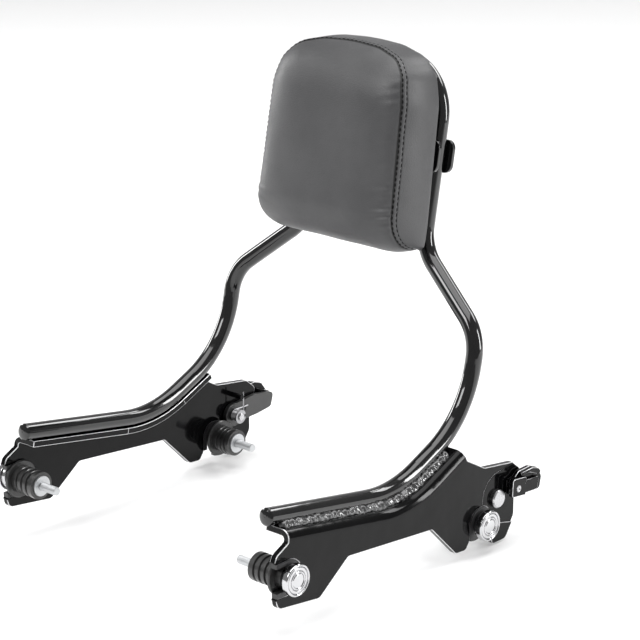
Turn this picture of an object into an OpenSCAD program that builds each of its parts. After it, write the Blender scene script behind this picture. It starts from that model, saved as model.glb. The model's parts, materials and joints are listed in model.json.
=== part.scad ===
// Detachable passenger backrest for a motorcycle: an upholstered pad on one bent
// tube, welded to two cut steel side plates that drop over four docking spools.
// Millimetres. X is across the bike with the left side positive, Y runs to the
// rear and Z is up. Pieces are drawn about the plane midway between the plates,
// right-hand ones as mirrors, and then moved so that the origin lies where the
// front left docking bolt leaves its washer for the strut.

/* [Docking points] */
// Distance from the front docking axis to the rear one, along Y
dock_pitch = 257; // [210:1:310]
// How far the rear docking axis lies below the front one
dock_drop = 30; // [18:1:38]
// Diameter of the spool neck that carries the plate
neck_d = 22; // [18:0.5:25]
// Diameter of the shoulder behind the plate
shoulder_d = 36; // [30:1:44]
// Thickness of the shoulder
shoulder_t = 3; // [2:0.5:5]
// Diameter of the ribbed spool body
body_d = 26; // [20:1:28]
// Distance from the plate's inner face to the strut that the spools stand on
strut_gap = 30; // [25:1:45]
// Diameter of the round cap
cap_d = 29; // [26:0.5:34]
// Thickness of the cap
cap_t = 11; // [8:0.5:13]
// Thread diameter of the docking bolts
bolt_d = 8; // [6:1:10]
// Length of bolt that stands out of the spool, for the strut
bolt_reach = 22; // [12:1:40]
// Running gap between spool neck and liner, on the radius
neck_gap = 0.3; // [0.2:0.1:1]
// Wall of the liner in each slot
liner_t = 4.5; // [3:0.5:6]

/* [Side plates] */
// Thickness of the plates
plate_t = 6; // [4:0.5:8]
// Outside radius of the bend along the top edge
bend_r = 9; // [8.5:0.5:12]
// Width of the top flange, from the plate's outer face inwards
flange_w = 27; // [24:1:34]
// Depth of the pressed step round the latch
step_depth = 1.5; // [0.5:0.5:2.5]
// Radius of the pressed step round the latch
step_r = 25; // [23:0.5:28]
// Radius on the plate's outer corners
corner_r = 7; // [3:0.5:9]

/* [Tube] */
// Outside diameter of the tube
tube_d = 16; // [14:0.5:19]
// Wall of the tube
tube_wall = 2; // [1.5:0.5:3]
// Distance from the centre plane to the tube's lower run
tube_x = 153.3; // [140:0.1:175]
// Height of the tube's lower run over the front docking axis
run_z = 49.6; // [46:0.2:56]
// Slope of the front run, in degrees
run_slope = -9.5; // [-12:0.1:-6]
// Slope of the rear run, in degrees
rise_slope = 24.2; // [18:0.1:26]
// Slope of the upright, in degrees
upright_slope = 78.6; // [74:0.2:84]
// Distance from the knee between the runs to the rear docking axis
knee_back = 99.6; // [90:0.2:115]
// How far the tube reaches in front of the front docking axis
run_front = 4; // [1:1:12]
// Length of the upright, corner to corner
upright_len = 75.8; // [75:0.2:120]
// Height gained where the tube slants in to the pad
slant_rise = 63; // [50:0.5:90]
// Set-back over that height
slant_back = 18; // [8:0.5:30]
// Distance from the centre plane to the hoop's sides
hoop_x = 73.5; // [64:0.5:80]
// Length of the hoop's sides, corner to corner
hoop_len = 169; // [150:1:220]
// How far the hoop leans back, in degrees
recline = 11.2; // [6:0.2:16]
// Bend radius at the knee, on the tube's centre line
knee_r = 120; // [90:1:130]
// Bend radius at the foot of the upright
foot_r = 98; // [70:1:100]
// Bend radius at both ends of the slanted length
slant_r = 44; // [35:1:46]
// Bend radius at the hoop's top corners
hoop_r = 52; // [40:1:60]

/* [Pad] */
// Width of the pad at its back edge
pad_w = 176; // [170:1:200]
// Width of the pad along its front seam
seam_w = 161; // [150:1:165]
// Height of the pad
pad_h = 186; // [178:1:220]
// Depth from the pad's back to its front seam
seam_depth = 45; // [40:1:55]
// Height of the front panel's crown over its seam
crown = 12; // [8:1:16]
// Space between the pad's back and the tube
pad_gap = 8.5; // [7:0.5:14]
// How much more upright the pad stands than the hoop, in degrees
pad_tilt = 1.4; // [0:0.2:2]
// Thickness of the moulded back board
board_t = 4; // [3:0.5:6]
// Height of the pad's lower edge over the hoop's lower corners
pad_low = -3; // [-6:0.5:2]
// Radius of the pad's top corners
pad_top_r = 16; // [10:1:18]
// Radius of the pad's bottom corners
pad_low_r = 18; // [10:1:24]

/* [Pad fixing] */
// Height of the clamp bars
bar_h = 31; // [26:1:40]
// Thickness of the clamp bars
bar_t = 4; // [3:0.5:6]
// How far the bars reach past the tube's centre line
bar_over = 12.5; // [11:0.5:18]
// Height of the clamp bars' middle over the hoop's lower corners
bar_z = 86; // [70:1:110]
// Distance between the two clamp bolts
clamp_pitch = 84; // [60:1:110]
// Thread diameter of the clamp bolts
clamp_d = 8; // [6:1:8]

/* [Latch] */
// Latch pivot behind the rear docking axis
pivot_y = 23; // [22:0.5:26]
// Latch pivot above the rear docking axis
pivot_z = 17.5; // [16:0.5:20]
// Diameter of the pivot pin
pin_d = 8; // [6:0.5:9]
// Diameter of the pin's round head
pin_head_d = 17.5; // [14:0.5:19]
// Running clearance of the pin in the hook, on the radius
pin_gap = 0.05; // [0.03:0.01:0.1]
// Thickness of the hook
hook_t = 5; // [4:0.5:6]
// Gap on each face of the hook
hook_side_gap = 0.6; // [0.4:0.1:1]
// How far the claw stands off the neck
claw_gap = 0.6; // [0.4:0.1:1.5]
// Thickness of the claw
claw_t = 7.5; // [5:0.5:8]
// Downward tilt of the thumb block, in degrees
thumb_tilt = 4; // [0:1:8]
// Wire diameter of the return spring
wire_d = 1.4; // [1:0.1:1.8]
// Turns of the return spring
spring_turns = 3; // [2:1:4]

/* [Hidden] */
$fn = 48;

// Small shared clearances and the washers under the spools
washer_t = 1.6;
seat_gap = 0.1;
weld_lift = 0.2;
face_gap = 0.4;

// Tube run, seen from the side as [y, z]
tube_r = tube_d / 2;
rear_dock = [dock_pitch, -dock_drop];
knee = [dock_pitch - knee_back, run_z + tan(run_slope) * (dock_pitch - knee_back)];
foot = knee + (knee_back + 1.2) * [1, tan(rise_slope)];
top_foot = foot + upright_len * [cos(upright_slope), sin(upright_slope)];
hoop_foot = top_foot + [slant_back, slant_rise];
run_start = [-run_front, run_z - tan(run_slope) * run_front];

// Plate, from the tube run: its flange carries the tube
plate_x = tube_x + 21;
fold_drop = tube_r + weld_lift + bend_r;
pivot = rear_dock + [pivot_y, pivot_z];
slot_r = neck_d / 2 + neck_gap + liner_t;
flange_end = rear_dock[0] - 22;
inner_x = plate_x - plate_t;
strut_x = inner_x - strut_gap;
hook_x = inner_x - hook_side_gap - hook_t;
step_x = plate_x - step_depth;

// Reference point: the front left docking bolt, where it leaves its washer
datum_x = strut_x - washer_t;
module from_datum() { translate([-datum_x, 0, 0]) children(); }

// Spring wound on the pin behind the hook: it sets the studs and the pin's end
coil_r = pin_d / 2 + wire_d / 2 + 1.1;
coil_pitch = wire_d + 0.1;
coil_x = hook_x - wire_d / 2 - 0.3;
leg_x = coil_x - coil_pitch * (spring_turns + 0.75);
pin_tail = leg_x - wire_d / 2 - 2.9;
hook_stud_d = 4;
stop_stud_d = 5;

// Pad, in the hoop's leaning frame: y runs back from the tube's centre plane
pad_back = -(tube_r + pad_gap);
pad_seam = pad_back - seam_depth;
board_back = pad_back;
bar_y_front = -tube_r - bar_t;

// Joins [x, y] to a 2D corner list with each corner rounded to its own radius
function unit(v) = v / norm(v);
function corner(a, p, b, r) =
    let (u = unit(a - p), v = unit(b - p), half = acos(u * v) / 2)
    let (want = r / tan(half), cut = min(want, norm(a - p) * 0.4999, norm(b - p) * 0.4999))
    let (rr = cut * tan(half), mid = p + unit(u + v) * rr / sin(half))
    let (from = p + u * cut - mid, to = p + v * cut - mid)
    let (a0 = atan2(from[1], from[0]), turn = atan2(from[0] * to[1] - from[1] * to[0], from * to))
    let (steps = max(2, ceil(abs(turn) / (rr > 15 ? 5 : 9))))
    [for (i = [0:steps]) mid + rr * [cos(a0 + turn * i / steps), sin(a0 + turn * i / steps)]];
function rounded(list) = [for (i = [0:len(list) - 1])
    let (n = len(list), p = list[i], a = list[(i + n - 1) % n], b = list[(i + 1) % n])
    each (p[2] == 0 ? [[p[0], p[1]]]
        : corner([a[0], a[1]], [p[0], p[1]], [b[0], b[1]], p[2]))];

// A corner of a line offset downwards by drop from the tube's knee
function below_knee(drop) =
    let (mid = (run_slope + rise_slope) / 2, half = (rise_slope - run_slope) / 2)
    knee + drop / cos(half) * [sin(mid), -cos(mid)];
function below_run(y, drop) = [y, run_z + tan(run_slope) * y - drop / cos(run_slope)];
function below_rise(y, drop) = [y, knee[1] + tan(rise_slope) * (y - knee[0]) - drop / cos(rise_slope)];

// Stands a [y, z] outline up as a plate from x0 outwards
module side_on(x0, thickness) {
    translate([x0, 0, 0]) rotate([90, 0, 90]) linear_extrude(thickness) children();
}

// Turns a [radius, height] profile round an axis along X at [y, z]
module turned(x0, at) {
    translate([x0, at[0], at[1]]) rotate([0, 90, 0]) rotate_extrude() children();
}

module round_bar(x0, length, d, at) {
    translate([x0, at[0], at[1]]) rotate([0, 90, 0]) cylinder(h = length, d = d);
}

module both_sides() {
    children();
    mirror([1, 0, 0]) children();
}

// The frame in which the hoop and the pad stand upright
module leaning() {
    translate([0, hoop_foot[0], hoop_foot[1]]) rotate([-recline, 0, 0]) children();
}

// A straight length of the profile. Where it meets an arc, a ring a few hundredths
// proud, drawn with $grow above zero, closes the seam between the two.
$grow = 0;
seam_gap = 0.1;
seam_ring = 0.7;
module stretch(length, seam0, seam1) {
    a = seam0 ? seam_gap : 0;
    b = seam1 ? seam_gap : 0;
    translate([0, 0, a]) linear_extrude(length - a - b) children();
    if (seam0) translate([0, 0, -seam_ring / 2 + 0.05]) linear_extrude(seam_ring) let ($grow = 0.03) children();
    if (seam1) translate([0, 0, length - seam_ring / 2 - 0.05]) linear_extrude(seam_ring) let ($grow = 0.03) children();
}

// The pad and its board stand a little more upright, turned about the clamp
module pad_leaning() {
    leaning() translate([0, bar_y_front, bar_z]) rotate([pad_tilt, 0, 0]) translate([0, -bar_y_front, -bar_z]) children();
}

// Bends a profile along 3D corner points: straight lengths and true arcs
module bent(points, radii) {
    n = len(points);
    dirs = [for (i = [0:n - 2]) unit(points[i + 1] - points[i])];
    turns = [for (i = [1:n - 2]) acos(dirs[i - 1] * dirs[i])];
    cuts = [for (i = [1:n - 2]) radii[i - 1] * tan(turns[i - 1] / 2)];
    for (i = [0:n - 2]) {
        c0 = i == 0 ? 0 : cuts[i - 1];
        c1 = i == n - 2 ? 0 : cuts[i];
        d = dirs[i];
        side = unit(cross(d, abs(d[0]) < 0.9 ? [1, 0, 0] : [0, 1, 0]));
        start = points[i] + d * c0;
        length = norm(points[i + 1] - points[i]) - c0 - c1;
        third = cross(d, side);
        multmatrix([[side[0], third[0], d[0], start[0]], [side[1], third[1], d[1], start[1]],
            [side[2], third[2], d[2], start[2]], [0, 0, 0, 1]]) stretch(length, i > 0, i < n - 2) children();
    }
    for (i = [1:n - 2]) {
        d = dirs[i - 1];
        axis = unit(cross(d, dirs[i]));
        out = cross(d, axis);
        mid = points[i] - d * cuts[i - 1] - out * radii[i - 1];
        multmatrix([[out[0], d[0], axis[0], mid[0]], [out[1], d[1], axis[1], mid[1]],
            [out[2], d[2], axis[2], mid[2]], [0, 0, 0, 1]])
            rotate_extrude(angle = turns[i - 1]) translate([radii[i - 1], 0]) children();
    }
}

// Carries an [across, up] profile along the plate's top edge, drop below the tube run
module along_edge(y0, y1, drop) {
    reach = (knee_r + drop) * tan((rise_slope - run_slope) / 2);
    bend_at = below_knee(drop);
    a = below_run(y0, drop);
    b = bend_at - reach * [cos(run_slope), sin(run_slope)];
    c = bend_at + reach * [cos(rise_slope), sin(rise_slope)];
    d = below_rise(y1, drop);
    centre = b + (knee_r + drop) * [-sin(run_slope), cos(run_slope)];
    translate([0, b[0], b[1]]) rotate([run_slope + 90, 0, 0]) stretch(norm(b - a), true, false) children();
    translate([0, d[0], d[1]]) rotate([rise_slope + 90, 0, 0]) stretch(norm(d - c), false, true) children();
    translate([0, centre[0], centre[1]]) rotate([run_slope, 0, 0]) rotate([0, 90, 0])
        rotate_extrude(angle = rise_slope - run_slope) translate([knee_r + drop, 0]) rotate(90) children();
}

// One tube from the left front end, up over the hoop and down to the right one
function side_points(s) = [
    [s * tube_x, run_start[0], run_start[1]],
    [s * tube_x, knee[0], knee[1]],
    [s * tube_x, foot[0], foot[1]],
    [s * tube_x, top_foot[0], top_foot[1]],
    [s * hoop_x, hoop_foot[0], hoop_foot[1]],
    [s * hoop_x, hoop_foot[0] + hoop_len * sin(recline), hoop_foot[1] + hoop_len * cos(recline)]];
module hoop_tube() {
    left = side_points(1);
    right = side_points(-1);
    radii = [knee_r, foot_r, slant_r, slant_r, hoop_r];
    color("#161616") bent(concat(left, [for (i = [5:-1:0]) right[i]]),
        concat(radii, [for (i = [4:-1:0]) radii[i]])) difference() {
            circle(d = tube_d + 2 * $grow);
            circle(d = tube_d - 2 * tube_wall - 2 * $grow);
        }
}

// Domed plug in each front end of the tube
module tube_plugs() {
    plug_in = 12;
    dome = 2.5;
    color("#1c1c1c") both_sides() translate([tube_x, run_start[0], run_start[1]])
        rotate([run_slope + 90, 0, 0]) rotate_extrude() polygon(concat([[0, -plug_in]],
            [[tube_r - tube_wall - seat_gap, -plug_in], [tube_r - tube_wall - seat_gap, 0], [tube_r, 0]],
            [for (a = [0:15:75]) [tube_r * cos(a), 0.6 + dome * sin(a)]], [[0, 0.6 + dome]]));
}

// Outline of the plate's flat face, as [y, z, corner radius]
module plate_outline() {
    polygon(rounded([
        concat(below_run(0.5, fold_drop + 1), 0),
        concat(below_run(8, fold_drop + 1), 0),
        concat(below_run(8, fold_drop + 6), 0),
        concat(below_knee(fold_drop + 6), knee_r + fold_drop + 6),
        concat(below_rise(flange_end - 8, fold_drop + 6), 0),
        concat(below_rise(flange_end - 8, fold_drop + 1), 0),
        concat(below_rise(flange_end - 0.5, fold_drop + 1), 0),
        [rear_dock[0] + 4, rear_dock[1] + 53, corner_r],
        [rear_dock[0] + 46, rear_dock[1] + 47, corner_r],
        [pivot[0] + 36, pivot[1] + 19, 5],
        [pivot[0] + 27, pivot[1] - 2, 10],
        [pivot[0] + 27, pivot[1] - 24, 10],
        [rear_dock[0] + 36, rear_dock[1] - 26, corner_r],
        [rear_dock[0] + slot_r, rear_dock[1] - 26, 4],
        [rear_dock[0] + slot_r, rear_dock[1] + slot_r, slot_r - 0.01],
        [rear_dock[0] - slot_r, rear_dock[1] + slot_r, slot_r - 0.01],
        [rear_dock[0] - slot_r, rear_dock[1] - 12, 6],
        [rear_dock[0] - slot_r - 6, rear_dock[1] - 20, 5],
        [rear_dock[0] - 36, rear_dock[1] - 19, corner_r],
        [rear_dock[0] - 70, rear_dock[1] + 15, 3],
        [75, -5, 5],
        [38, -32, corner_r],
        [-14, -25.5, corner_r],
        [-16, -slot_r, 1.5],
        [slot_r, -slot_r, slot_r - 0.01],
        [slot_r, slot_r, slot_r - 0.01],
        [-17.5, slot_r, 1.5],
        concat(below_run(-15, fold_drop + 11.5), corner_r)]));
}

// Short web, quarter bend and flat flange, as [across, up] from the fold line
module flange_profile() {
    inner_r = bend_r - plate_t;
    g = $grow;
    intersection() {
        difference() {
            translate([plate_x - bend_r, 0]) circle(r = bend_r + g);
            translate([plate_x - bend_r, 0]) circle(r = inner_r - g);
        }
        translate([plate_x - bend_r, 0]) square([2 * bend_r, 2 * bend_r]);
    }
    translate([inner_x - g, -web]) square([plate_t + 2 * g, web]);
    translate([plate_x - flange_w - g, inner_r - g]) square([flange_w - bend_r + g, plate_t + 2 * g]);
}
web = 12;

module side_plate() {
    difference() {
        union() {
            side_on(inner_x, plate_t) plate_outline();
            along_edge(0, flange_end, fold_drop) flange_profile();
        }
        round_bar(inner_x - 1, plate_t + 2, pin_d + 2 * pin_gap, pivot);
        side_on(step_x, step_depth + 1) latch_step();
    }
}
module side_plate_left() { color("#131313") side_plate(); }
module side_plate_right() { color("#131313") mirror([1, 0, 0]) side_plate(); }

// Area pressed in round the latch and out to the rear edge, opening rearwards
module latch_step() {
    up = 8;
    down = 14;
    reach = 80;
    top = [-step_r, step_r * (1 - sin(up)) / cos(up)];
    low = [-step_r, -step_r * (1 - sin(down)) / cos(down)];
    translate(pivot + [4, 1]) polygon(rounded([concat(low, step_r * 0.97),
        concat(low + reach * [cos(down), -sin(down)], 0), concat(top + reach * [cos(up), sin(up)], 0),
        concat(top, step_r * 0.97)]));
}

// Weld between the tube and the flange, filled to the tube's own surface
module weld_profile() {
    leg = 8.5;
    g = $grow;
    foot_at = -tube_r - weld_lift + 0.05;
    difference() {
        translate([tube_x + 3 - g, foot_at - g]) square([leg + 2 * g, leg - 1 + 2 * g]);
        translate([tube_x, 0]) circle(r = tube_r + 0.05 - g);
        translate([tube_x + 3.4 + leg, foot_at + leg]) circle(r = leg * 0.62 - g);
    }
}
module weld() { along_edge(5, flange_end - 16, 0) weld_profile(); }
module weld_left() { color("#1d1d1d") weld(); }
module weld_right() { color("#1d1d1d") mirror([1, 0, 0]) weld(); }

// Spool: ribbed body on the strut, shoulder, and the neck that the plate sits on
module spool(at, neck_back) {
    shoulder_x = inner_x - neck_back;
    body_len = shoulder_x - shoulder_t - strut_x;
    groove = 1.6;
    ribs = 3;
    pitch = body_len / (ribs + 1);
    head_deep = bolt_d + 1;
    neck_end = plate_x + face_gap;
    color("#1a1a1a") turned(0, at) difference() {
        polygon(concat([[bolt_d / 2 + 0.2, strut_x], [body_d / 2, strut_x]],
            [for (i = [1:ribs]) each [[body_d / 2, strut_x + pitch * i - 1.5], [body_d / 2 - groove, strut_x + pitch * i - 0.8],
                [body_d / 2 - groove, strut_x + pitch * i + 0.8], [body_d / 2, strut_x + pitch * i + 1.5]]],
            [[body_d / 2, shoulder_x - shoulder_t], [shoulder_d / 2 - 0.8, shoulder_x - shoulder_t],
                [shoulder_d / 2, shoulder_x - shoulder_t + 0.8], [shoulder_d / 2, shoulder_x - 0.8],
                [shoulder_d / 2 - 0.8, shoulder_x], [neck_d / 2, shoulder_x], [neck_d / 2, neck_end],
                [bolt_d * 0.75 + 0.4, neck_end], [bolt_d * 0.75 + 0.4, neck_end - head_deep],
                [bolt_d / 2 + 0.2, neck_end - head_deep]]));
    }
}
rear_neck = hook_t + 2 * hook_side_gap;
module front_spool() { spool([0, 0], face_gap); }
module rear_spool() { spool(rear_dock, rear_neck); }
module front_spool_left() { front_spool(); }
module front_spool_right() { mirror([1, 0, 0]) front_spool(); }
module rear_spool_left() { rear_spool(); }
module rear_spool_right() { mirror([1, 0, 0]) rear_spool(); }

// Cap with a stepped, ringed face, on the end of the spool
module cap(at) {
    r = cap_d / 2;
    back = plate_x + face_gap;
    front = back + cap_t;
    color("#d8d8d8") turned(0, at) polygon(concat([[0, back], [r - 1, back], [r, back + 1], [r, front - 1.8]],
        [for (a = [0:15:90]) [r - 1.6 + 1.6 * cos(a), front - 1.6 + 1.6 * sin(a)]],
        [[r - 2.2, front], [r - 2.6, front - 0.9], [r - 3.4, front - 0.9], [r - 3.8, front - 0.2],
            [r - 5.4, front - 0.2], [r - 5.8, front - 0.9], [r - 6.4, front - 0.9], [r - 6.8, front - 0.4],
            [0, front + 0.3]]));
}
module front_cap_left() { cap([0, 0]); }
module front_cap_right() { mirror([1, 0, 0]) cap([0, 0]); }
module rear_cap_left() { cap(rear_dock); }
module rear_cap_right() { mirror([1, 0, 0]) cap(rear_dock); }

// Liner in a slot: a U of hard plastic, mouth along +x in its own frame
module liner(at, mouth, reach) {
    r_out = slot_r - seat_gap;
    r_in = neck_d / 2 + neck_gap;
    color("#202020") side_on(inner_x, plate_t) translate(at) rotate(mouth) difference() {
        union() {
            circle(r = r_out);
            translate([0, -r_out]) square([max(reach, 1), 2 * r_out]);
        }
        circle(r = r_in);
        translate([0, -r_in]) square([2 * r_out, 2 * r_in]);
        translate([reach, -2 * r_out]) square([2 * r_out, 4 * r_out]);
    }
}
module front_liner() { liner([0, 0], 180, 15); }
module rear_liner() { liner(rear_dock, -90, 11.5); }
module front_liner_left() { front_liner(); }
module front_liner_right() { mirror([1, 0, 0]) front_liner(); }
module rear_liner_left() { rear_liner(); }
module rear_liner_right() { mirror([1, 0, 0]) rear_liner(); }

// Socket-head bolts through the spools. Past the washer the thread stands out for
// the strut, drawn smooth between its crest and its root.
module dock_bolt(at) {
    head_x = plate_x + face_gap - bolt_d - 1;
    head_d = bolt_d * 1.5;
    thread_d = bolt_d - 0.5;
    thread_end = strut_x - bolt_reach;
    translate([0, at[0], at[1]]) difference() {
        union() {
            translate([head_x, 0, 0]) rotate([0, 90, 0]) cylinder(h = bolt_d, d = head_d);
            translate([datum_x, 0, 0]) rotate([0, 90, 0]) cylinder(h = head_x - datum_x, d = bolt_d);
            translate([thread_end, 0, 0]) rotate([0, 90, 0]) cylinder(h = datum_x - thread_end, d = thread_d);
        }
        translate([head_x + bolt_d / 2, 0, 0]) rotate([0, 90, 0]) cylinder(h = bolt_d, d = bolt_d * 0.8, $fn = 6);
    }
}
module dock_bolts() { color("#8a8a8a") both_sides() for (at = [[0, 0], rear_dock]) dock_bolt(at); }

// Hardened washer under each spool, against the strut
module dock_washers() {
    color("#9a9a9a") both_sides() for (at = [[0, 0], rear_dock])
        translate([datum_x, at[0], at[1]]) rotate([0, 90, 0]) difference() {
            cylinder(h = washer_t, d = bolt_d * 2.4);
            translate([0, 0, -1]) cylinder(h = washer_t + 2, d = bolt_d + 0.4);
        }
}

// Hook: hub on the pin, claw under the neck, tail out to the thumb block
module hook_outline() {
    r_in = neck_d / 2 + claw_gap;
    r_out = r_in + claw_t;
    to_dock = rear_dock - pivot;
    difference() {
        union() {
            circle(r = 12);
            translate(to_dock) intersection() {
                circle(r = r_out);
                polygon([[0, 0], 60 * [cos(34), sin(34)], [60, 0], 60 * [cos(-60), sin(-60)],
                    60 * [cos(-112), sin(-112)]]);
            }
            rotate(-thumb_tilt) polygon(rounded([[0, -9, 0], [34, -5, 8], [53, -1, 4], [56, 14, 4], [30, 16, 8], [0, 11, 0]]));
        }
        translate(to_dock) circle(r = r_in);
        circle(d = pin_d + 2 * pin_gap);
    }
}
module latch_hook() {
    color("#2a2a2a") {
        side_on(hook_x, hook_t) translate(pivot) hook_outline();
        round_bar(hook_x - 2.4, 3.4, hook_stud_d, pivot + [15, coil_r - wire_d / 2 - hook_stud_d / 2 - 0.05]);
    }
}
module latch_hook_left() { latch_hook(); }
module latch_hook_right() { mirror([1, 0, 0]) latch_hook(); }

// Thumb block: wraps the plate's rear edge and stands on its outer face
thumb_back = inner_x - hook_side_gap;
thumb_clear = 44;
screw_at = [19.4, 7.6];
module thumb_shape(x0, thickness) {
    translate([0, pivot[0], pivot[1]]) rotate([-thumb_tilt, 0, 0]) side_on(x0, thickness) children();
}
module latch_thumb() {
    outer = plate_x + 0.6;
    slab = 4;
    raised = 5;
    color("#1b1b1b") difference() {
        union() {
            thumb_shape(thumb_back, outer - thumb_back)
                polygon(rounded([[thumb_clear, 1, 1.5], [53, 0, 3], [56, 14, 3], [thumb_clear, 17, 1.5]]));
            thumb_shape(outer, slab)
                polygon(rounded([[12, 2, 2], [33, -1, 2], [57.5, -1.5, 4], [59.5, 11, 6], [50.5, 21.5, 4], [40, 24.2, 4],
                    [24, 22.4, 4], [19, 17.5, 2], [12, 16.5, 2]]));
            thumb_shape(outer + slab, raised)
                polygon(rounded([[10.5, 0.5, 2.5], [30, -0.3, 1.5], [30, 17.3, 2], [10.5, 17.8, 2.5]]));
            thumb_shape(outer + slab, 3)
                polygon(rounded([[28, 1, 0], [51, 1, 2], [51, 12.9, 1.5], [28, 12.6, 0]]));
            thumb_shape(outer + slab, 4)
                polygon(rounded([[22.5, 19, 1], [36, 19.8, 3], [50, 15.4, 1.5], [52.8, 17.4, 1.5], [49.4, 21.2, 3],
                    [39.7, 23.7, 3], [24.4, 21.9, 1]]));
        }
        thumb_shape(outer + slab + raised - 3, 4) translate(screw_at) circle(d = 5.6);
    }
}
module latch_thumb_left() { latch_thumb(); }
module latch_thumb_right() { mirror([1, 0, 0]) latch_thumb(); }

// Slotted screw in the face of the thumb block
module thumb_screw() {
    screw_x = plate_x + 0.6 + 6;
    color("#b8b8b8") thumb_shape(screw_x, 3.3) translate(screw_at) difference() {
        circle(d = 5.4);
        rotate(62) square([1.1, 8], center = true);
    }
    color("#b8b8b8") thumb_shape(screw_x, 2) translate(screw_at) circle(d = 5.4);
}
module thumb_screw_left() { thumb_screw(); }
module thumb_screw_right() { mirror([1, 0, 0]) thumb_screw(); }

// Pivot pin with a plain chamfered head outside and a clip groove inside
module pivot_pin() {
    head_t = 4.5;
    r = pin_d / 2;
    h = pin_head_d / 2;
    color("#dcdcdc") turned(0, pivot) polygon([[0, pin_tail], [r - 0.8, pin_tail], [r, pin_tail + 0.8],
        [r, pin_tail + 1.4], [r - 0.9, pin_tail + 1.4], [r - 0.9, pin_tail + 2.6], [r, pin_tail + 2.6],
        [r, step_x], [h, step_x], [h, step_x + head_t - 1.2], [h - 1.2, step_x + head_t], [0, step_x + head_t]]);
}
module pivot_pin_left() { pivot_pin(); }
module pivot_pin_right() { mirror([1, 0, 0]) pivot_pin(); }

// Snap ring in the groove of each pin
module pivot_clips() {
    color("#8f8f8f") both_sides() side_on(pin_tail + 1.5, 1) translate(pivot) difference() {
        circle(d = pin_d + 6);
        circle(d = pin_d - 1.7);
        translate([0, -1.6]) square([pin_d * 2, 3.2]);
    }
}

// Stud on the plate's inner face that takes the fixed leg of the spring
module stop_studs() {
    stud_x = leg_x - wire_d / 2 - 1;
    color("#242424") both_sides() round_bar(stud_x, inner_x - stud_x, stop_stud_d,
        pivot + [coil_r - wire_d / 2 - stop_stud_d / 2 - 0.05, 20]);
}

// Wire coiled round the pin: one leg lies on the hook's stud, the other stands up
// against the plate's
function spring_path(steps) = concat([[coil_x, pivot[0] + 18, pivot[1] + coil_r]],
    [for (i = [0:steps * (spring_turns + 0.75)]) let (a = 90 + i * 360 / steps)
        [coil_x - coil_pitch * i / steps, pivot[0] + coil_r * cos(a), pivot[1] + coil_r * sin(a)]],
    [[leg_x, pivot[0] + coil_r, pivot[1] + 24]]);
module swept(path, d, sides) {
    n = len(path);
    ring = [for (i = [0:n - 1])
        let (t = unit(path[min(i + 1, n - 1)] - path[max(i - 1, 0)]), u = unit(cross(t, [1, 0, 0.02])), v = cross(t, u))
        each [for (k = [0:sides - 1]) path[i] + d / 2 * (u * cos(360 * k / sides) + v * sin(360 * k / sides))]];
    polyhedron(ring, concat([[for (k = [0:sides - 1]) k]],
        [for (i = [0:n - 2]) for (k = [0:sides - 1]) let (m = (k + 1) % sides)
            [i * sides + k, (i + 1) * sides + k, (i + 1) * sides + m, i * sides + m]],
        [[for (k = [sides - 1:-1:0]) (n - 1) * sides + k]]));
}
module return_spring() { color("#777777") swept(spring_path(16), wire_d, 6); }
module return_spring_left() { return_spring(); }
module return_spring_right() { mirror([1, 0, 0]) return_spring(); }

// Front view of the pad: near-straight sides drawn in by tuck at the top, rounded
// corners, slightly arched top
pad_top = pad_low + pad_h;
back_tuck = 4;
module pad_front(w, top, low, tuck) {
    half = w / 2;
    side = [[half - 5, low, pad_low_r], [half, low + 40, 60], [half - 3.5 - tuck / 2, top - 40, 60],
        [half - 5.2 - tuck, top - 17.5, pad_top_r], [half - 22.5 - tuck, top - 6.5, 60], [half - 50, top - 1, 200]];
    polygon(rounded(concat(side, [for (i = [5:-1:0]) [-side[i][0], side[i][1], side[i][2]]])));
}

// Side view of the pad: flat back, rounded under the front, crowned face
module pad_side() {
    back = pad_back - board_t - seat_gap;
    polygon(rounded([[back, pad_low, 2], [back, pad_top, 2], [pad_seam - 2, pad_top, 6],
        [pad_seam - crown, pad_top - 34, 90], [pad_seam - crown, pad_low + 38, 60], [pad_seam + 1, pad_low - 2, 24]]));
}
module pad_cushion() {
    color("#2b2b2b") pad_leaning() intersection() {
        rotate([90, 0, 90]) translate([0, 0, -pad_w]) linear_extrude(2 * pad_w) pad_side();
        hull() {
            translate([0, pad_back - board_t - seat_gap, 0]) rotate([90, 0, 0]) linear_extrude(6)
                pad_front(pad_w, pad_top, pad_low - 1, back_tuck);
            translate([0, pad_seam, 0]) rotate([90, 0, 0]) linear_extrude(0.5) pad_front(seam_w, pad_top, pad_low - 1, 0);
            translate([0, pad_seam - crown, 0]) rotate([90, 0, 0]) linear_extrude(0.5)
                pad_front(seam_w - 22, pad_top - 12, pad_low + 12, 0);
        }
    }
}

// Moulded back board; bosses hold the nuts and stand off the front bar
nut_h = clamp_d * 0.6;
nut_front = board_back - board_t;
module back_board() {
    boss_len = pad_gap - bar_t - seat_gap - 0.35;
    color("#181818") pad_leaning() difference() {
        union() {
            translate([0, board_back, 0]) rotate([90, 0, 0]) linear_extrude(board_t)
                pad_front(pad_w - 6, pad_top - 3, pad_low + 3, back_tuck);
            for (s = [-1, 1]) translate([s * clamp_pitch / 2, board_back - 1, bar_z]) rotate([-90, 0, 0])
                cylinder(h = boss_len + 1, d = 26);
        }
        for (s = [-1, 1]) translate([s * clamp_pitch / 2, nut_front - 1, bar_z]) rotate([-90, 0, 0]) {
            cylinder(h = board_t + boss_len + 2, d = clamp_d + 1.2);
            cylinder(h = nut_h + 1 + seat_gap, d = clamp_d * 1.7 + 0.4, $fn = 6);
        }
    }
}

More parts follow.
